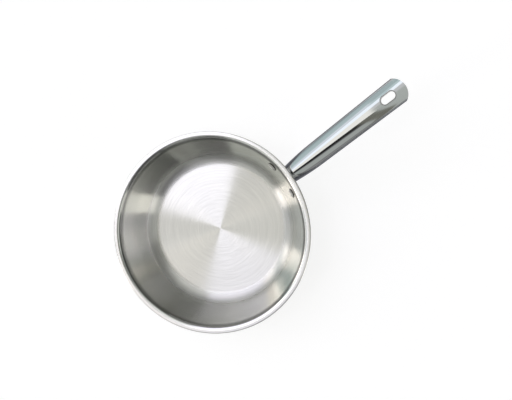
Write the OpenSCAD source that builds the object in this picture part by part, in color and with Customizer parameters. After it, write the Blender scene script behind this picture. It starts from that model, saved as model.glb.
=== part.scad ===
// Stainless steel frying pan: a drawn body with a flared pouring lip, a three-layer
// encapsulated base, and a closed hollow handle on a bracket held by two rivets.
// Millimetres. The pan rests on the XY plane, Z is its turning axis, and the handle
// points along +X. The origin is the centre of the resting face.

/* [Pan body] */
// Outer diameter over the pouring lip
rim_d = 240; // [200:1:300]
// Height from the resting face to the top of the lip
pan_h = 55.5; // [50:0.5:75]
// Diameter of the flat cooking floor
floor_d = 156; // [130:1:166]
// Thickness of the drawn sheet
body_t = 1; // [0.8:0.1:1.4]
// Radius between the floor and the wall, on the cooking side
floor_fillet_r = 16; // [10:1:20]
// Radius of the bend from the wall to the lip, on the cooking side
lip_bend_r = 5.5; // [2.5:0.1:7]
// Width of the level part of the lip
lip_flat_w = 2.4; // [1:0.1:6]
// Radius of the turned-down outer edge of the lip
lip_edge_r = 1.6; // [1.6:0.1:4]

/* [Base] */
// Diameter of the heat-spreading disc
core_d = 154; // [120:1:155]
// Thickness of the heat-spreading disc
core_t = 4; // [2:0.1:6]
// Thickness of the cap pressed round the disc
cap_t = 0.6; // [0.4:0.1:1]
// Outer radius at the lower edge of the cap
cap_edge_r = 2.4; // [1.2:0.1:4]

/* [Handle bracket] */
// Width of the bracket plate across the handle
bracket_w = 62; // [54:1:80]
// Height of the bracket plate along the wall
bracket_h = 22; // [19:0.5:26]
// Corner radius of the bracket plate
bracket_corner_r = 7; // [3:0.5:9]
// Thickness of the bracket plate
bracket_t = 2; // [1.5:0.1:3]
// Height of the bracket's centre above the resting face
bracket_z = 41; // [38:0.5:42]
// Length of the sleeve that the handle is pushed over and welded to
sleeve_l = 14; // [8:1:25]
// Wall of the sleeve
sleeve_t = 1.5; // [1:0.1:2.5]

/* [Rivets] */
// Sideways angle of each rivet from the handle, about the pan's axis
rivet_angle = 10.3; // [9:0.1:13]
// Height of the rivets above the resting face
rivet_z = 43.5; // [39:0.5:44]
// Shank diameter
rivet_d = 5; // [4:0.1:6]
// Diameter of the domed head inside the pan
rivet_head_d = 11.4; // [8:0.1:12]
// Height of the domed head
rivet_head_h = 1.9; // [1.2:0.1:3]
// Diameter of the closed tail behind the bracket
rivet_tail_d = 8.6; // [7:0.1:10]
// Height of the closed tail
rivet_tail_h = 2; // [1.2:0.1:3]

/* [Handle] */
// Length from the bracket to the tip
handle_l = 181; // [130:1:240]
// Rise of the handle above level, in degrees
handle_rise = 14; // [6:0.5:18]
// Height of the handle's axis at the bracket
handle_z = 39.5; // [38:0.5:41]
// Width of the tube near the pan, before it necks in
tube_near_w = 26.4; // [24:0.1:32]
// Width of the tube at the tip
tube_tip_w = 30.2; // [26:0.1:38]
// Height of the tube at the bracket
tube_near_h = 16.6; // [14:0.1:18]
// Height of the tube at the tip
tube_tip_h = 10.8; // [8:0.1:16]
// Wall of the tube
tube_t = 1.5; // [1:0.1:2.5]
// Length over which the tube necks in towards the bracket
neck_l = 50; // [20:1:60]
// Drop in width on each side at the bracket
neck_in = 3.3; // [0:0.1:5]
// Radius of the rounded tip, seen from above
tip_r = 17; // [16.4:0.1:24]
// Thickness of the plate that closes the tip
tip_cap_t = 1.5; // [1:0.1:3]

/* [Hanging slot] */
// Length of the opening
slot_l = 18; // [12:0.5:24]
// Width of the opening
slot_w = 9.2; // [6:0.1:14]
// Wall of the liner round the opening
liner_t = 1; // [0.6:0.1:2]
// Distance from the slot's centre to the tip
slot_from_tip = 23.5; // [20:0.5:40]
// Lean of the slot and of the tip from square to the handle, in degrees
punch_lean = 16; // [0:1:20]

/* [Hidden] */
$fn = 180;

// Fits and clearances
over = 5;
part_gap = 0.1;
weld_gap = 0.2;
rivet_clear = 0.1;
sleeve_clear = 0.2;

// Counts of facets
arc_steps = 10;
tube_sides = 40;
tube_stations = 12;
short_stations = 3;

// Colours
steel = [0.78, 0.78, 0.76];
bright_steel = [0.82, 0.84, 0.86];
aluminium = [0.68, 0.69, 0.70];

// Radii and levels of the body
rim_r = rim_d / 2;
floor_r = floor_d / 2;
core_r = core_d / 2;
floor_z = cap_t + core_t + body_t;
fillet_x = floor_r;
fillet_z = floor_z + floor_fillet_r;
edge_x = rim_r - lip_edge_r;
edge_z = pan_h - lip_edge_r;
bend_x = edge_x - lip_flat_w;
bend_z = pan_h - lip_bend_r;

// The wall is the straight line that touches both the floor fillet and the lip bend
centres_l = norm([bend_x - fillet_x, bend_z - fillet_z]);
wall_a = atan2(bend_z - fillet_z, bend_x - fillet_x)
       + asin((floor_fillet_r + lip_bend_r) / centres_l);
wall_foot_x = fillet_x + floor_fillet_r * sin(wall_a);
wall_foot_z = fillet_z - floor_fillet_r * cos(wall_a);

// Radius of the wall at height z, on a surface that lies "out" outside its cooking side
function wall_r(z, out) = wall_foot_x + (z - wall_foot_z) / tan(wall_a) + out / sin(wall_a);

// Points of an arc about [x, z], with angles counted up from the downward direction
function arc(x, z, r, from, to) =
    [for (i = [0:arc_steps]) let (a = from + (to - from) * i / arc_steps)
        [x + r * sin(a), z - r * cos(a)]];

// What lies on the outside of the body wall, counted outwards from the cooking side
bracket_in = body_t + part_gap;
bracket_out = bracket_in + bracket_t;
handle_x = wall_r(handle_z, bracket_out);

// Drawn sheet body, with two holes for the rivets
module pan_body() {
    color(steel) difference() {
        rotate_extrude() polygon(concat(
            [[0, floor_z - body_t], [0, floor_z]],
            arc(fillet_x, fillet_z, floor_fillet_r, 0, wall_a),
            arc(bend_x, bend_z, lip_bend_r, wall_a + 180, 180),
            arc(edge_x, edge_z, lip_edge_r, 180, 90),
            arc(edge_x, edge_z, lip_edge_r - body_t, 90, 180),
            arc(bend_x, bend_z, lip_bend_r - body_t, 180, wall_a + 180),
            arc(fillet_x, fillet_z, floor_fillet_r + body_t, wall_a, 0)));
        for (side = [-1, 1]) at_rivet(side) rivet_hole();
    }
}

// Aluminium disc under the floor, with its lower edge rounded to fit the cap
module base_core() {
    color(aluminium) rotate_extrude() polygon(concat(
        [[0, cap_t + core_t], [0, cap_t]],
        arc(core_r - cap_edge_r, cap_t + cap_edge_r, cap_edge_r, 0, 90),
        [[core_r, cap_t + core_t]]));
}

// Thin magnetic steel cap that closes the disc in from below and round its edge
module base_cap() {
    cap_in_r = core_r + part_gap;
    color(steel) rotate_extrude() polygon(concat(
        [[0, cap_t], [0, 0]],
        arc(cap_in_r - cap_edge_r, cap_t + cap_edge_r, cap_edge_r + cap_t, 0, 90),
        [[cap_in_r + cap_t, cap_t + core_t], [cap_in_r, cap_t + core_t]],
        arc(cap_in_r - cap_edge_r, cap_t + cap_edge_r, cap_edge_r, 90, 0)));
}

// Places a child on the cooking side of the wall, its Z along the wall's inward normal
module at_wall(z, turn) {
    rotate([0, 0, turn]) translate([wall_r(z, 0), 0, z]) rotate([0, -wall_a, 0]) children();
}

module at_rivet(side) {
    at_wall(rivet_z, side * rivet_angle) children();
}

module rivet_hole() {
    hole_l = bracket_out + over;
    translate([0, 0, -hole_l]) cylinder(d = rivet_d + 2 * rivet_clear, h = hole_l + over);
}

module rounded_plate(w, h, r) {
    square([w, h - 2 * r], center = true);
    square([w - 2 * r, h], center = true);
    for (x = [-1, 1], y = [-1, 1])
        translate([x * (w / 2 - r), y * (h / 2 - r)]) circle(r = r);
}

// Solid of revolution that fills the pan out to a surface parallel to the wall
module wall_fill(out) {
    low_z = wall_foot_z;
    high_z = pan_h + over;
    rotate_extrude() polygon([
        [0, low_z], [wall_r(low_z, out), low_z], [wall_r(high_z, out), high_z], [0, high_z]]);
}

// Pressed plate that follows the wall, with an oval sleeve for the tube
module handle_bracket() {
    plate_depth = bracket_out + over;
    sleeve_in = tube_t + sleeve_clear;
    color(steel) difference() {
        union() {
            intersection() {
                difference() {
                    wall_fill(bracket_out);
                    wall_fill(bracket_in);
                }
                at_wall(bracket_z, 0) translate([0, 0, -plate_depth])
                    rotate([0, 0, 90]) linear_extrude(height = plate_depth + over)
                        rounded_plate(bracket_w, bracket_h, bracket_corner_r);
            }
            difference() {
                at_handle() difference() {
                    tube_solid(sleeve_in, -over, sleeve_l, short_stations);
                    tube_solid(sleeve_in + sleeve_t, -2 * over, sleeve_l + over, short_stations);
                }
                wall_fill(bracket_out - bracket_t / 2);
            }
        }
        for (side = [-1, 1]) at_rivet(side) rivet_hole();
    }
}

// Places a child at the bracket, its X along the handle
module at_handle() {
    translate([handle_x, 0, handle_z]) rotate([0, -handle_rise, 0]) children();
}

// Half width and half height of the tube, s millimetres out from the bracket
function neck_share(s) = pow(max(0, 1 - max(0, s) / neck_l), 2);
function half_w(s) = (tube_near_w + (tube_tip_w - tube_near_w) * s / handle_l) / 2
                   - neck_in * neck_share(s);
function half_h(s) = (tube_near_h + (tube_tip_h - tube_near_h) * s / handle_l) / 2;

// The section is an ellipse at the bracket and turns squarer towards the tip
near_power = 2;
tip_power = 2.7;
function power_at(s) = near_power + (tip_power - near_power) * max(0, s) / handle_l;
function bulge(v, power) = sign(v) * pow(abs(v), 2 / power);
function section(s, inset) =
    [for (i = [0:tube_sides - 1]) let (a = 360 * i / tube_sides)
        [s, (half_w(s) - inset) * bulge(cos(a), power_at(s)),
            (half_h(s) - inset) * bulge(sin(a), power_at(s))]];

// Stations lie closer together in the neck than along the straight taper
station_power = 1.6;
function station(i, from, to, count) = from + (to - from) * pow(i / count, station_power);

module tube_solid(inset, from, to, stations) {
    ring = tube_sides;
    points = [for (i = [0:stations]) each section(station(i, from, to, stations), inset)];
    sides = [for (i = [0:stations - 1], j = [0:ring - 1])
        let (a = i * ring + j, b = i * ring + (j + 1) % ring)
            each [[a, b + ring, b], [a, a + ring, b + ring]]];
    near_face = [for (j = [0:ring - 1]) j];
    far_face = [for (j = [ring - 1:-1:0]) stations * ring + j];
    polyhedron(points = points, faces = concat(sides, [near_face, far_face]));
}

// Outline punched straight through the tube, its centre s millimetres from the bracket
module punch(s) {
    punch_l = tube_near_h + 2 * over;
    translate([s, 0, 0]) rotate([0, punch_lean, 0])
        translate([0, 0, -punch_l]) linear_extrude(height = 2 * punch_l) children();
}

module slot_outline(grow) {
    slot_r = slot_w / 2;
    straight_l = slot_l - slot_w;
    square([straight_l, slot_w + 2 * grow], center = true);
    for (end = [-1, 1]) translate([end * straight_l / 2, 0]) circle(r = slot_r + grow);
}

// What the tip's die cuts away: a block with a round nose taken out of it
module tip_scrap() {
    scrap_w = 2 * (tip_r + over);
    difference() {
        translate([0, -scrap_w / 2]) square([tip_r + 4 * over, scrap_w]);
        circle(r = tip_r);
    }
}

// Curved strip that fills the mouth of the tube at the tip
module tip_strip() {
    difference() {
        intersection() {
            circle(r = tip_r);
            translate([0, -tip_r]) square([tip_r, 2 * tip_r]);
        }
        circle(r = tip_r - tip_cap_t);
    }
}

slot_s = handle_l - slot_from_tip;
tip_s = handle_l - tip_r;

// Hollow tube: cut to the bracket at one end, and to a round tip at the other
module handle_tube() {
    color(bright_steel) difference() {
        at_handle() difference() {
            tube_solid(0, -over, handle_l + over, tube_stations);
            tube_solid(tube_t, -2 * over, handle_l + 2 * over, tube_stations);
            punch(slot_s) slot_outline(liner_t + part_gap);
            punch(tip_s) tip_scrap();
        }
        wall_fill(bracket_out + weld_gap);
    }
}

// Plate welded into the tube's mouth, flush with its rounded end
module handle_tip() {
    color(bright_steel) at_handle() intersection() {
        tube_solid(tube_t + part_gap, tip_s - over, handle_l + over, short_stations);
        punch(tip_s) tip_strip();
    }
}

// Short oval pipe that lines the hanging slot from the top of the tube to its underside
module slot_liner() {
    color(bright_steel) at_handle() intersection() {
        tube_solid(0, slot_s - slot_l, slot_s + slot_l, short_stations);
        punch(slot_s) difference() {
            slot_outline(liner_t);
            slot_outline(0);
        }
    }
}

// Solid rivet: domed head inside the pan, shank through the wall and the bracket, closed tail
module rivet() {
    shank_r = rivet_d / 2;
    head_r = rivet_head_d / 2;
    tail_r = rivet_tail_d / 2;
    // A flat head on the hollow side of the wall touches at its two ends
    head_seat = pow(head_r, 2) * sin(wall_a) / (2 * wall_r(rivet_z, 0)) + part_gap;
    dome_r = (pow(head_r, 2) + pow(rivet_head_h, 2)) / (2 * rivet_head_h);
    tail_z = -bracket_out - part_gap;
    tail_edge_r = rivet_tail_h / 2;
    color(bright_steel) rotate_extrude() polygon(concat(
        [[0, tail_z - rivet_tail_h]],
        arc(tail_r - tail_edge_r, tail_z - rivet_tail_h + tail_edge_r, tail_edge_r, 0, 90),
        [[tail_r, tail_z], [shank_r, tail_z], [shank_r, head_seat]],
        arc(0, head_seat + rivet_head_h - dome_r, dome_r, 180 - asin(head_r / dome_r), 180)));
}

module left_rivet() {
    at_rivet(1) rivet();
}

module right_rivet() {
    at_rivet(-1) rivet();
}

pan_body();
base_core();
base_cap();
handle_bracket();
handle_tube();
handle_tip();
slot_liner();
left_rivet();
right_rivet();
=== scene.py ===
# Stainless steel frying pan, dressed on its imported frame. Metres, in the part's own axes:
# the pan stands on z = 0 and turns about Z, and its handle points along +X.
import math

import bmesh
import bpy
from mathutils import Matrix, Quaternion, Vector


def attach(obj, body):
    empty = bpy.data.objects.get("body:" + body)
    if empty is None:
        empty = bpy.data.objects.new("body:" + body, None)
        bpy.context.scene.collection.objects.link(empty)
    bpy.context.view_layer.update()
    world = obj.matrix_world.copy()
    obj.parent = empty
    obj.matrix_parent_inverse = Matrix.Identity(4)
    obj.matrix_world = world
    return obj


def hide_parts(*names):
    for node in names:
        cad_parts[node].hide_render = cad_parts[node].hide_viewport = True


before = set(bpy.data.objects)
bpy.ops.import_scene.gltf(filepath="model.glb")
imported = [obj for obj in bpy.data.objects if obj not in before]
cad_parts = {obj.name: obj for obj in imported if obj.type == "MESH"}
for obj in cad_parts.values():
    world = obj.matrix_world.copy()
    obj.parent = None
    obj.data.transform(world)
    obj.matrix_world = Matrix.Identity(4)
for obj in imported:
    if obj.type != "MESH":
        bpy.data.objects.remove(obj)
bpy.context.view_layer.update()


# PAN BODY
# Drawn from 1 mm stainless sheet, its lip bent level and turned down at the edge. Brushed
# in circles on a lathe, with the lip buffed bright. It is bonded to the base and riveted
# to the handle's bracket.
sheet_t = 0.001
rim_r, pan_h, floor_z = 0.120, 0.0555, 0.0056
floor_r, fillet_r = 0.078, 0.016
bend_r, lip_flat, lip_edge_r = 0.0055, 0.0024, 0.0016
buffed_w, buffed_h = 0.0068, 0.004
steel_colour, outer_colour = (0.80, 0.80, 0.765), (0.60, 0.60, 0.585)
lip_colour = (0.93, 0.93, 0.905)
satin_gloss, outer_gloss, lip_gloss = 0.17, 0.28, 0.20
satin_streak, outer_streak = 0.5, 0.25
# Added roughness at the floor's corner, then painted shade: how much darker the colour is under
# the lip
corner_dull, lip_painted_shade = 0.12, 0.55
body_steps, quarter_turn = 240, 0.25

# The wall is the straight line that touches the floor's corner and the lip's bend
across = rim_r - lip_edge_r - lip_flat - floor_r
up = pan_h - bend_r - floor_z - fillet_r
wall_a = math.atan2(up, across) + math.asin((fillet_r + bend_r) / math.hypot(across, up))
foot_r = floor_r + fillet_r * math.sin(wall_a)
foot_z = floor_z + fillet_r * (1 - math.cos(wall_a))
bend_from = rim_r - lip_edge_r - lip_flat - bend_r * math.sin(wall_a)


def wall_r(z, out=0.0):
    """Radius of the wall at height z, on a surface that lies "out" behind it."""
    return foot_r + (z - foot_z) / math.tan(wall_a) + out / math.sin(wall_a)


def turned(corners, steps, bend_steps=16, same=2e-6):
    """Rounds the corners (radius, height, cut) of a profile and turns it about Z."""
    bm = bmesh.new()
    chain = [bm.verts.new((x, 0, z)) for x, z, cut in corners]
    for a, b in zip(chain, chain[1:]):
        bm.edges.new((a, b))
    for v, (x, z, cut) in zip(chain, corners):
        if cut:
            bmesh.ops.bevel(bm, geom=[v], offset=cut, offset_type="OFFSET",
                            segments=bend_steps, profile=0.5, affect="VERTICES", material=-1)
    bmesh.ops.spin(bm, geom=bm.verts[:] + bm.edges[:], cent=(0, 0, 0), axis=(0, 0, 1),
                   angle=math.tau, steps=steps, use_merge=True)
    bmesh.ops.remove_doubles(bm, verts=bm.verts[:], dist=same)
    bmesh.ops.recalc_face_normals(bm, faces=bm.faces[:])
    return bm


def finished(name, bm, material, sharp=35):
    """Makes the mesh an object with smooth faces and crisp edges."""
    mesh = bpy.data.meshes.new(name)
    bm.to_mesh(mesh)
    bm.free()
    mesh.shade_smooth()
    mesh.set_sharp_from_angle(angle=math.radians(sharp))
    mesh.materials.append(material)
    piece = bpy.data.objects.new(name, mesh)
    bpy.context.scene.collection.objects.link(piece)
    return piece


class Term:
    """A socket in a node tree, used in plain arithmetic."""

    def __init__(self, tree, link):
        self.tree, self.link = tree, link

    def node(self, kind, settings={}, inputs={}, output=0):
        """Makes a shader node, fills its settings and inputs, and gives one output."""
        made = self.tree.nodes.new("ShaderNode" + kind)
        for key, value in settings.items():
            if key == "stops":
                ramp = made.color_ramp
                while len(ramp.elements) < len(value):
                    ramp.elements.new(1.0)
                for stop, (place, colour) in zip(ramp.elements, value):
                    stop.position, stop.color = place, (*colour, 1.0)
            else:
                setattr(made, key, value)
        for key, value in inputs.items():
            if isinstance(value, Term):
                self.tree.links.new(value.link, made.inputs[key])
            else:
                made.inputs[key].default_value = value
        return Term(self.tree, made.outputs[output] if made.outputs else None)

    def math(self, operation, *values):
        """One maths node, used by the arithmetic below."""
        return self.node("Math", {"operation": operation}, dict(enumerate(values)))

    def __add__(self, other):
        return self.math("ADD", self, other)

    def __radd__(self, other):
        return self.math("ADD", other, self)

    def __sub__(self, other):
        return self.math("SUBTRACT", self, other)

    def __rsub__(self, other):
        return self.math("SUBTRACT", other, self)

    def __mul__(self, other):
        return self.math("MULTIPLY", self, other)

    def __rmul__(self, other):
        return self.math("MULTIPLY", other, self)

    def __truediv__(self, other):
        return self.math("DIVIDE", self, other)

    def __pow__(self, other):
        return self.math("POWER", self, other)

    def step(self, low, high):
        """0 below low, 1 above high, and smooth between them."""
        return self.node("MapRange", {"interpolation_type": "SMOOTHSTEP"},
                         {"Value": self, "From Min": low, "From Max": high})

    def blend(self, a, b):
        """Colour a where this mask is 0, and colour b where it is 1."""
        return self.node("Mix", {"data_type": "RGBA"}, {0: self, 6: a, 7: b}, 2)


def new_finish(name):
    """An empty material, and its Object coordinates as x, y, z and the whole vector."""
    material = bpy.data.materials.new(name)
    material.use_nodes = True
    material.node_tree.nodes.clear()
    start = Term(material.node_tree, None)
    place = start.node("TexCoord", output=3)
    apart = start.node("SeparateXYZ", inputs={0: place})
    x, y, z = (Term(apart.tree, apart.link.node.outputs[i]) for i in range(3))
    return material, place, x, y, z


def steel_shader(material, colour, roughness, bump, brushed=0.0):
    """A polished or brushed steel surface, its brushing laid in circles about Z."""
    start = Term(material.node_tree, None)
    inputs = {"Base Color": colour, "Roughness": roughness, "Metallic": 1.0, "Normal": bump}
    if brushed:
        inputs["Anisotropic"] = brushed
        inputs["Anisotropic Rotation"] = quarter_turn
        inputs["Tangent"] = start.node("Tangent", {"direction_type": "RADIAL", "axis": "Z"})
    shader = start.node("BsdfPrincipled", inputs=inputs)
    start.node("OutputMaterial", inputs={"Surface": shader})


def circular_satin(name, metal, roughness, streak=0.4, corner=0.0, painted_shade=0.0):
    """Steel brushed in circles: broken rings of different shade, gloss and height.

    The rounded corner is rougher by "corner", and the last argument darkens the colour in a ring
    where the wall bends out into the lip: painted shade."""
    material, place, x, y, z = new_finish(name)
    wide_scale, fine_scale, fine_share = 800.0, 2000.0, 0.4
    ring_r, groove_d, gloss_spread = 0.002, 0.000006, 0.10
    around = (x * x + y * y) ** 0.5 + 1e-6
    lay = x.node("CombineXYZ", inputs={0: around + z, 1: x / around * ring_r,
                                       2: y / around * ring_r})
    wide = x.node("TexNoise", inputs={"Vector": lay, "Scale": wide_scale, "Detail": 3.0})
    fine = x.node("TexNoise", inputs={"Vector": lay, "Scale": fine_scale, "Detail": 3.0})
    rings = fine * fine_share + wide * (1 - fine_share)
    shade = (rings - 0.5) * streak + 1.0
    gloss = (rings - 0.5) * gloss_spread + roughness
    if corner:
        before, after = 0.003, 0.004
        bent = around.step(floor_r - before, floor_r + after)
        bent = bent * (1.0 - around.step(foot_r - before, foot_r + after))
        gloss = gloss + bent * corner
    # Painted shade: the colour is darkened in a ring where the wall bends out into the lip
    if painted_shade:
        rise, full, fall = 0.0025, 0.001, 0.002
        ring = around.step(bend_from - rise, bend_from)
        ring = ring * (1.0 - around.step(bend_from + full, bend_from + full + fall))
        shade = shade * (1.0 - ring * painted_shade)
    colour = x.node("VectorMath", {"operation": "SCALE"}, {0: metal, "Scale": shade})
    groove = x.node("Bump", inputs={"Strength": 1.0, "Distance": groove_d, "Height": rings})
    steel_shader(material, colour, gloss, groove, brushed=1.0)
    return material


def buffed(name, colour, roughness):
    """Buffed steel, nearly a mirror, with a soft unevenness left by the wheel."""
    material, place, x, y, z = new_finish(name)
    shade_spread, gloss_spread, sag_d = 0.04, 0.06, 0.00005
    cloud = x.node("TexNoise", inputs={"Vector": place, "Scale": 60.0, "Detail": 3.0})
    shade = (cloud - 0.5) * shade_spread + 1.0
    tint = x.node("VectorMath", {"operation": "SCALE"}, {0: colour, "Scale": shade})
    gloss = (cloud - 0.5) * gloss_spread + roughness
    sag = x.node("TexNoise", inputs={"Vector": place, "Scale": 45.0, "Detail": 1.0})
    relief = x.node("Bump", inputs={"Strength": 0.3, "Distance": sag_d, "Height": sag})
    steel_shader(material, tint, gloss, relief)
    return material


# Corners close to each bend keep the flat floor and the straight wall truly flat, and the
# bend at the lip's edge stops just short of its neighbour
near, almost = 0.0005, 0.98
lip_index, outer_index, facing_down = 1, 2, -0.01
bend_z = pan_h - bend_r * (1 - math.cos(wall_a))
body = turned([
    (0, floor_z, 0), (floor_r - near, floor_z, 0),
    (wall_r(floor_z), floor_z, fillet_r * math.tan(wall_a / 2)),
    (wall_r(foot_z + near), foot_z + near, 0), (wall_r(bend_z - near), bend_z - near, 0),
    (wall_r(pan_h), pan_h, bend_r * math.tan(wall_a / 2)), (rim_r, pan_h, lip_edge_r * almost),
    (rim_r, pan_h - lip_edge_r, 0)], body_steps)
lip_bright = buffed("lip_bright", lip_colour, lip_gloss)
outer_satin = circular_satin("outer_satin", outer_colour, outer_gloss, streak=outer_streak)
bmesh.ops.solidify(body, geom=body.faces[:], thickness=sheet_t)
body.normal_update()
for face in body.faces:
    c = face.calc_center_median()
    if face.normal.z < facing_down:
        face.material_index = outer_index
    elif math.hypot(c.x, c.y) > rim_r - buffed_w and c.z > pan_h - buffed_h:
        face.material_index = lip_index
inner_satin = circular_satin("inner_satin", steel_colour, satin_gloss, streak=satin_streak,
                             corner=corner_dull, painted_shade=lip_painted_shade)
pan_body = finished("pan_body_steel", body, inner_satin)
pan_body.data.materials.append(lip_bright)
pan_body.data.materials.append(outer_satin)
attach(pan_body, "root")
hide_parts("pan_body")


# BASE
# Aluminium disc that spreads the heat, and the thin steel cap that is pressed round it.
# Both are bonded under the floor in a press, and the cap is ground flat on a lathe.
disc_colour, cap_colour = (0.68, 0.69, 0.70), (0.58, 0.58, 0.57)
disc_gloss, cap_gloss = 0.45, 0.32
for node, finish in (("base_core", circular_satin("rolled_disc", disc_colour, disc_gloss)),
                     ("base_cap", circular_satin("ground_cap", cap_colour, cap_gloss))):
    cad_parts[node].data.materials.clear()
    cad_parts[node].data.materials.append(finish)


# HANDLE BRACKET
# Pressed steel plate that follows the back of the wall, and the sleeve that it carries. The
# two rivets hold the plate, and the tube is pushed over the sleeve and welded to it.
bracket_colour, bracket_gloss = (0.62, 0.62, 0.61), 0.3
bracket_satin = buffed("bracket_satin", bracket_colour, bracket_gloss)
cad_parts["handle_bracket"].data.materials.clear()
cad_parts["handle_bracket"].data.materials.append(bracket_satin)


# RIVETS
# Two solid steel rivets through the wall and the bracket: a low domed head inside the
# pan, and a tail closed over the bracket. Polished before they are set.
rivet_turn, rivet_z = math.radians(10.3), 0.0435
shank_r, head_r, head_h, head_rim = 0.0025, 0.0057, 0.0019, 0.00035
tail_r, tail_h, tail_z = 0.0043, 0.002, -0.0032
seat_gap, dome_cut, rivet_steps = 0.0001, 0.47, 64
head_seat = head_r ** 2 * math.sin(wall_a) / (2 * wall_r(rivet_z)) + seat_gap
# Shares of the head's radius for its painted marks: a painted reflection across the dome, and
# painted shadow at the edge
ring_in, ring_out, edge_in, line_soft = 0.50, 0.62, 0.84, 0.06
head_colour, painted_line_colour = (0.95, 0.95, 0.93, 1), (0.035, 0.03, 0.025, 1)
head_gloss, line_dull = 0.35, 0.1


def set_bright(name, side):
    """Polished rivet steel, with a dark painted reflection across the dome and painted shadow at
    its edge.
    """
    material, place, x, y, z = new_finish(name)
    axis = Vector((math.cos(side * rivet_turn) * math.sin(wall_a),
                   math.sin(side * rivet_turn) * math.sin(wall_a), -math.cos(wall_a)))
    seat = Vector((math.cos(side * rivet_turn), math.sin(side * rivet_turn), 0))
    seat = seat * wall_r(rivet_z) + Vector((0, 0, rivet_z))
    off = x.node("VectorMath", {"operation": "SUBTRACT"}, {0: place, 1: seat})
    cross = x.node("VectorMath", {"operation": "CROSS_PRODUCT"}, {0: off, 1: axis})
    away = x.node("VectorMath", {"operation": "LENGTH"}, {0: cross}, 1)
    # Painted reflection: a dark band across the dome; painted shadow: dark from near the head's
    # edge outwards
    from_in, from_out, from_edge = (away.step(head_r * at, head_r * (at + line_soft))
                                    for at in (ring_in, ring_out, edge_in))
    lines = from_in * (1.0 - from_out) + from_edge
    gloss_spread, relief_d = 0.04, 0.00002
    cloud = x.node("TexNoise", inputs={"Vector": place, "Scale": 300.0, "Detail": 2.0})
    tint = lines.blend(head_colour, painted_line_colour)
    gloss = (cloud - 0.5) * gloss_spread + head_gloss + lines * line_dull
    relief = x.node("Bump", inputs={"Strength": 0.2, "Distance": relief_d, "Height": cloud})
    steel_shader(material, tint, gloss, relief)
    return material


for node, side in (("left_rivet", 1), ("right_rivet", -1)):
    bm = turned([
        (0, tail_z - tail_h, 0), (tail_r, tail_z - tail_h, tail_h / 2), (tail_r, tail_z, 0),
        (shank_r, tail_z, 0), (shank_r, head_seat, 0), (head_r, head_seat, 0),
        (head_r, head_seat + head_rim, 0), (head_r / 2, head_seat + head_h, head_r * dome_cut),
        (0, head_seat + head_h, 0)], rivet_steps)
    bm.transform(Matrix.Rotation(side * rivet_turn, 4, "Z")
                 @ Matrix.Translation((wall_r(rivet_z), 0, rivet_z))
                 @ Matrix.Rotation(-wall_a, 4, "Y"))
    rivet = finished(node + "_steel", bm, set_bright(node + "_bright", side))
    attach(rivet, "root")
    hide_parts(node)


# HANDLE TUBE
# Welded steel tube pressed oval, cut to the wall at one end and round at the other, and
# welded to the bracket's sleeve. Mirror polished, with a duller band along each side whose dark
# colour is painted shade.
handle_l, handle_rise = 0.181, math.radians(14)
root_z, root_out, wall_gap = 0.0395, 0.0031, 0.0033
near_w, tip_w, near_h, tip_h = 0.0264, 0.0302, 0.0166, 0.0108
neck_l, neck_in, squarer = 0.050, 0.0033, 0.7
tube_t, tip_r, over, fit = 0.0015, 0.017, 0.005, 0.0001
slot_s, slot_r, slot_half, liner_t = handle_l - 0.0235, 0.0046, 0.0044, 0.001
punch_lean, punch_l, block_l, nose_l, fill_up = math.radians(16), 0.06, 0.12, 0.2, 0.02
# The dark second colour is painted shade along each side of the tube
mirror_colour, painted_side_colour = (0.83, 0.85, 0.86), (0.10, 0.105, 0.12, 1)
mirror_gloss, side_dull = 0.04, 0.2
side_shade_in, side_shade_out, neck_spread = 0.46, 0.66, 0.35
root = Vector((wall_r(root_z, root_out), 0, root_z))
at_handle = Matrix.Translation(root) @ Matrix.Rotation(-handle_rise, 4, "Y")
at_slot = at_handle @ Matrix.Translation((slot_s, 0, 0)) @ Matrix.Rotation(punch_lean, 4, "Y")
tip_s = handle_l - tip_r
at_tip = at_handle @ Matrix.Translation((tip_s, 0, 0)) @ Matrix.Rotation(punch_lean, 4, "Y")


def tube_skin(inset, first, last, rings, sides):
    """The tube's skin from station first to last, moved in by inset."""
    bm = bmesh.new()
    bmesh.ops.create_cone(bm, cap_ends=True, segments=sides, radius1=1, radius2=1, depth=1)
    long_edges = [e for e in bm.edges if abs(e.verts[0].co.z - e.verts[1].co.z) > 0.5]
    bmesh.ops.subdivide_edges(bm, edges=long_edges, cuts=rings, use_grid_fill=True)
    for v in bm.verts:
        s = first + (v.co.z + 0.5) * (last - first)
        share = s / handle_l
        power = 2 / (2 + squarer * max(0, share))
        neck = max(0, 1 - max(0, s) / neck_l) ** 2
        half_w = (near_w + (tip_w - near_w) * share) / 2 - neck_in * neck - inset
        half_h = (near_h + (tip_h - near_h) * share) / 2 - inset
        v.co = Vector((s, half_w * math.copysign(abs(v.co.x) ** power, v.co.x),
                       half_h * math.copysign(abs(v.co.y) ** power, v.co.y)))
    bmesh.ops.recalc_face_normals(bm, faces=bm.faces[:])
    return bm


def tool(name, bm, place):
    """A body that only cuts: it leaves no mesh of its own."""
    bm.transform(place)
    mesh = bpy.data.meshes.new(name)
    bm.to_mesh(mesh)
    bm.free()
    made = bpy.data.objects.new(name, mesh)
    bpy.context.scene.collection.objects.link(made)
    return made


def cut(piece, cutter, operation="DIFFERENCE"):
    """Cuts the piece with the tool, and throws the tool away."""
    made = piece.modifiers.new("cut", "BOOLEAN")
    made.operation, made.object, made.solver = operation, cutter, "EXACT"
    bpy.context.view_layer.update()
    done = bpy.data.meshes.new_from_object(
        piece.evaluated_get(bpy.context.evaluated_depsgraph_get()))
    old, piece.data = piece.data, done
    piece.modifiers.clear()
    bpy.data.meshes.remove(old)
    bpy.data.objects.remove(cutter)


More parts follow.
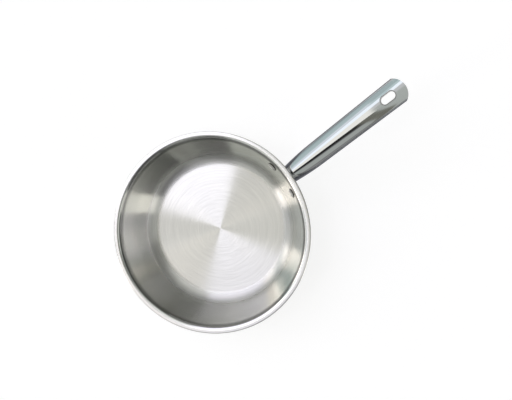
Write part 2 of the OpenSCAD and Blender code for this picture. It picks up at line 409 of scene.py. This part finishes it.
def slot_punch(grow):
    """Long round-ended punch of the hanging slot."""
    bm = bmesh.new()
    bmesh.ops.create_circle(bm, cap_ends=True, segments=96, radius=slot_r + grow)
    for v in bm.verts:
        v.co.x += math.copysign(slot_half, v.co.x)
    top = bmesh.ops.extrude_face_region(bm, geom=bm.faces[:])
    moved = [g for g in top["geom"] if isinstance(g, bmesh.types.BMVert)]
    bmesh.ops.translate(bm, verts=moved, vec=(0, 0, punch_l))
    bmesh.ops.translate(bm, verts=bm.verts[:], vec=(0, 0, -punch_l / 2))
    bmesh.ops.recalc_face_normals(bm, faces=bm.faces[:])
    return bm


def pan_fill(out):
    """Everything inside the pan, out to a surface that lies "out" behind the wall."""
    high = pan_h + fill_up
    bm = bmesh.new()
    bmesh.ops.create_cone(bm, cap_ends=True, segments=360, radius1=wall_r(foot_z, out),
                          radius2=wall_r(high, out), depth=high - foot_z)
    bmesh.ops.translate(bm, verts=bm.verts[:], vec=(0, 0, (high + foot_z) / 2))
    return bm


def round_nose(radius):
    """Round nose of the tip's die."""
    bm = bmesh.new()
    bmesh.ops.create_cone(bm, cap_ends=True, segments=256, radius1=radius,
                          radius2=radius, depth=nose_l)
    return bm


def half_block(side):
    """Block that fills one side of its own YZ plane."""
    bm = bmesh.new()
    bmesh.ops.create_cube(bm, size=block_l)
    bmesh.ops.translate(bm, verts=bm.verts[:], vec=(side * block_l / 2, 0, 0))
    return bm


def mirror_steel(name):
    """Mirror polish, with a duller band along the widest line of each side, its dark colour
    painted shade.
    """
    material, place, x, y, z = new_finish(name)
    along = (x - root.x) * math.cos(handle_rise) + (z - root.z) * math.sin(handle_rise)
    level = (z - root.z) * math.cos(handle_rise) - (x - root.x) * math.sin(handle_rise)
    half_h = along * ((tip_h - near_h) / handle_l / 2) + near_h / 2
    spread = (1.0 - along.step(0.0, neck_l)) * neck_spread
    # Painted shade: each side is painted dark where it turns under, the band wider towards the
    # root
    painted_side_shade = 1.0 - (level.math("ABSOLUTE", level) / half_h - spread).step(side_shade_in, side_shade_out)
    shade_spread, gloss_spread, sag_d = 0.03, 0.02, 0.00003
    cloud = x.node("TexNoise", inputs={"Vector": place, "Scale": 60.0, "Detail": 2.0})
    shade = (cloud - 0.5) * shade_spread + 1.0
    bright = x.node("VectorMath", {"operation": "SCALE"}, {0: mirror_colour, "Scale": shade})
    tint = painted_side_shade.blend(bright, painted_side_colour)
    gloss = (cloud - 0.5) * gloss_spread + mirror_gloss + painted_side_shade * side_dull
    sag = x.node("TexNoise", inputs={"Vector": place, "Scale": 30.0, "Detail": 1.0})
    relief = x.node("Bump", inputs={"Strength": 0.2, "Distance": sag_d, "Height": sag})
    steel_shader(material, tint, gloss, relief)
    return material


def again_smooth(piece, sharp=35):
    """Splits the many-sided faces that cutting leaves, and shades all but crisp edges smooth."""
    bm = bmesh.new()
    bm.from_mesh(piece.data)
    many_sided = [face for face in bm.faces if len(face.verts) > 4]
    bmesh.ops.triangulate(bm, faces=many_sided, quad_method="BEAUTY", ngon_method="BEAUTY")
    bm.to_mesh(piece.data)
    bm.free()
    piece.data.shade_smooth()
    piece.data.set_sharp_from_angle(angle=math.radians(sharp))


mirror = mirror_steel("mirror_steel")
skin = tube_skin(0, -over, handle_l + over, rings=80, sides=128)
hollow = tube_skin(tube_t, -2 * over, handle_l + 2 * over, rings=60, sides=96)
tube = finished("tube_steel", skin, mirror)
tube.data.transform(at_handle)
cut(tube, tool("hollow", hollow, at_handle))
cut(tube, tool("punch", slot_punch(liner_t + fit), at_slot))
cut(tube, tool("fill", pan_fill(wall_gap), Matrix.Identity(4)))
die = tool("die", half_block(1), Matrix.Identity(4))
cut(die, tool("nose", round_nose(tip_r), Matrix.Identity(4)))
die.data.transform(at_tip)
cut(tube, die)
again_smooth(tube)
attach(tube, "root")
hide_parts("handle_tube")


# TIP PLATE
# Thin steel plate bent to the round end of the tube. It is welded into the tube's mouth,
# flush with its end, and polished with it.
plate_t = 0.0015
stopper = tube_skin(tube_t + fit, tip_s - over, handle_l + over, rings=8, sides=96)
plate = finished("tip_plate_steel", stopper, mirror)
plate.data.transform(at_handle)
cut(plate, tool("outer", round_nose(tip_r), at_tip), "INTERSECT")
cut(plate, tool("inner", round_nose(tip_r - plate_t), at_tip))
cut(plate, tool("back", half_block(-1), at_tip))
again_smooth(plate)
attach(plate, "root")
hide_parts("handle_tip")


# SLOT LINER
# Short oval pipe of duller steel that lines the hanging slot, ground flush with the tube. Its
# colour is painted shade, dark, so that a thin dark line runs round the opening.
painted_liner_shade, liner_gloss, blank_half = (0.33, 0.33, 0.32), 0.35, 0.018
painted_shade_liner = buffed("painted_shade_liner", painted_liner_shade, liner_gloss)
blank = tube_skin(0, slot_s - blank_half, slot_s + blank_half, rings=24, sides=128)
liner = finished("slot_liner_steel", blank, painted_shade_liner)
liner.data.transform(at_handle)
cut(liner, tool("around", slot_punch(liner_t), at_slot), "INTERSECT")
cut(liner, tool("through", slot_punch(0), at_slot))
again_smooth(liner)
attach(liner, "root")
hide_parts("slot_liner")


# FLOOR
# Plain white table. It glows a little for the camera and for the steel, so that it
# reads as white paper, and it keeps the pan's soft shadow.
table_r, glow_level = 3.0, 0.78
dark_fibre, pale_fibre = (0.38, 0.38, 0.38, 1), (0.42, 0.42, 0.42, 1)
bm = bmesh.new()
bmesh.ops.create_circle(bm, cap_ends=True, segments=96, radius=table_r)
paper, place, x, y, z = new_finish("white_table")
path = x.node("LightPath")
seen = [Term(path.tree, path.link.node.outputs[n]) for n in
        ("Is Camera Ray", "Is Glossy Ray", "Is Transmission Ray")]
glow = (seen[0] + seen[1] + seen[2]) * glow_level
fibre = x.node("TexNoise", inputs={"Vector": place, "Scale": 900.0, "Detail": 2.0})
white = fibre.blend(dark_fibre, pale_fibre)
matt = x.node("BsdfDiffuse", inputs={"Color": white})
light = x.node("Emission", inputs={"Color": (1, 1, 1, 1), "Strength": glow})
both = x.node("AddShader", inputs={0: matt, 1: light})
x.node("OutputMaterial", inputs={"Surface": both})
table = finished("table", bm, paper)


# LIGHT
# A white studio above the table: soft boxes, cloths and dark gaps round the floor's mirror
# point, and a row of strips over the handle. The steel shows them as fans and bands, and
# the camera itself sees plain white.
world = bpy.data.worlds.new("studio")
bpy.context.scene.world = world
world.use_nodes = True
world.node_tree.nodes.clear()
start = Term(world.node_tree, None)
way = start.node("TexCoord", output=3)
apart = start.node("SeparateXYZ", inputs={0: way})
dx, dy = (Term(apart.tree, apart.link.node.outputs[i]) for i in range(2))

# Where the level floor mirrors the camera, seen from straight below on the sky's disc
glance = Vector((-0.282, 0.051))
east, north = dx - glance.x, dy - glance.y
turn = dy.math("FRACT", dy.math("ARCTAN2", north, east) / math.tau)
# How far out towards the horizon a direction lies: 0 at that point and 1 on the horizon
lean = east * glance.x + north * glance.y
spare = 1 - glance.length_squared
reach = ((lean * lean + (east * east + north * north) * spare) ** 0.5 + lean) / spare
peak = 4.0
cream, shell, rose = (1.035, 1.0, 0.86), (1.03, 1.0, 0.94), (1.045, 0.985, 0.955)
lilac = (0.995, 0.975, 1.095)
blue, teal = (0.95, 1.0, 1.07), (0.88, 1.05, 1.07)
green, plain = (0.98, 1.02, 0.97), (1.0, 1.0, 1.0)


def bands(along, low, high, *parts):
    """Cloths side by side from low to high: each is where it ends, its level and tint."""
    stops = []
    soft = 0.0012
    span = high - low
    for end, level, tint in parts:
        colour = [level * t / peak for t in tint]
        edge = (end - low) / span
        stops += [(stops[-1][0] + 2 * soft if stops else 0.0, colour), (edge - soft, colour)]
    return along.node("ValToRGB", {"stops": stops}, {0: (along - low) / span})


compass = turn * 360.0
core = bands(compass, 0, 360, (36, 0.27, cream), (122, 2.0, lilac), (160, 0.57, rose),
             (221, 1.03, rose), (302, 0.79, lilac), (360, 0.43, cream))
gap = bands(compass, 0, 360, (45, 1.1, plain), (100, 1.0, lilac), (128, 1.2, rose),
            (300, 0.08, green), (360, 0.1, plain))
wide = bands(compass, 0, 360, (12, 0.22, green), (42, 0.5, green), (92, 1.2, lilac),
             (100, 1.4, rose), (131, 2.7, rose), (163, 0.4, green), (178, 1.3, rose),
             (222, 0.65, green), (298, 0.06, plain), (312, 0.6, green), (336, 0.52, green),
             (360, 0.22, green))
skirt = bands(compass, 0, 360, (60, 0.15, plain), (98, 0.3, plain), (128, 2.5, rose),
              (150, 0.9, plain), (163, 0.7, blue), (178, 3.8, rose), (298, 0.05, plain),
              (312, 1.5, shell), (360, 0.06, plain))
hem = bands(compass, 0, 360, (25, 0.15, green), (325, 0.8, plain), (360, 0.15, green))
# Each cloth lies outside the one before it, round a dull grey middle
sky = (0.25, 0.25, 0.25, 1)
for inner, outer, cloth in ((0.06, 0.11, core), (0.31, 0.33, gap), (0.49, 0.51, wide),
                            (0.83, 0.85, skirt), (0.955, 0.97, hem)):
    sky = reach.step(inner, outer).blend(sky, cloth)

# The strips that the handle mirrors: a row for its length, a plainer row for its tip, and
# an olive cloth between them on the right. They lie north to south, a little bowed.
strips = bands(north, -1.1, 1.1, (-0.94, 0.085, plain), (-0.80, 0.25, plain),
               (-0.71, 0.2, plain), (-0.30, 0.38, green), (-0.23, 0.14, plain),
               (-0.08, 0.02, plain), (0.06, 0.92, shell), (0.20, 1.07, blue),
               (0.36, 0.76, blue), (0.48, 0.54, teal), (0.70, 0.50, teal), (0.83, 0.40, teal),
               (1.1, 0.22, teal))
tip_strips = bands(north, -1.1, 1.1, (-0.94, 0.1, plain), (-0.86, 0.25, plain),
                   (0.0, 0.44, green), (0.06, 0.58, plain), (0.18, 1.05, blue),
                   (0.30, 0.60, teal), (0.70, 0.46, teal), (0.83, 0.38, teal),
                   (1.1, 0.24, teal))
strips_from, strips_mid, bow = -0.346, 0.082, 0.12
olive_colour = (0.041, 0.040, 0.034, 1)
ahead = east - strips_from - north * north * bow
olive = ahead.step(0.092, 0.096) * (1.0 - north.step(-0.10, -0.08)) * north.step(-0.84, -0.80)
strips = olive.blend(strips, olive_colour)
strips = ahead.step(0.113, 0.116).blend(strips, tip_strips)
within = 1.0 - dx.math("ABSOLUTE", ahead - strips_mid).step(0.078, 0.086)
sky = within.blend(sky, strips)
path = start.node("LightPath")
seen = Term(path.tree, path.link.node.outputs["Is Camera Ray"])
colour = seen.blend(sky, (1, 1, 1, 1))
level = peak - seen * (peak - 1)
studio = start.node("Background", inputs={"Color": colour, "Strength": level})
start.node("OutputWorld", inputs={"Surface": studio})


# CAMERA
# High above the handle's tip, looking down at the middle of the pan and handle. It is
# turned so that the handle points up and to the right.
eye = Vector((0.33067, -0.05986, 1.18153))
aim = Vector((0.06255, 0.00032, 0.03))
focal_mm, roll = 70.31, math.radians(-113.98)
lens = bpy.data.cameras.new("camera")
lens.lens, lens.sensor_width, lens.clip_start = focal_mm, 36.0, 0.05
camera = bpy.data.objects.new("camera", lens)
bpy.context.scene.collection.objects.link(camera)
camera.location = eye
camera.rotation_mode = "QUATERNION"
camera.rotation_quaternion = ((aim - eye).to_track_quat("-Z", "Y")
                              @ Quaternion((0, 0, 1), roll))
bpy.context.scene.camera = camera
bpy.context.scene.view_settings.view_transform = "Standard"
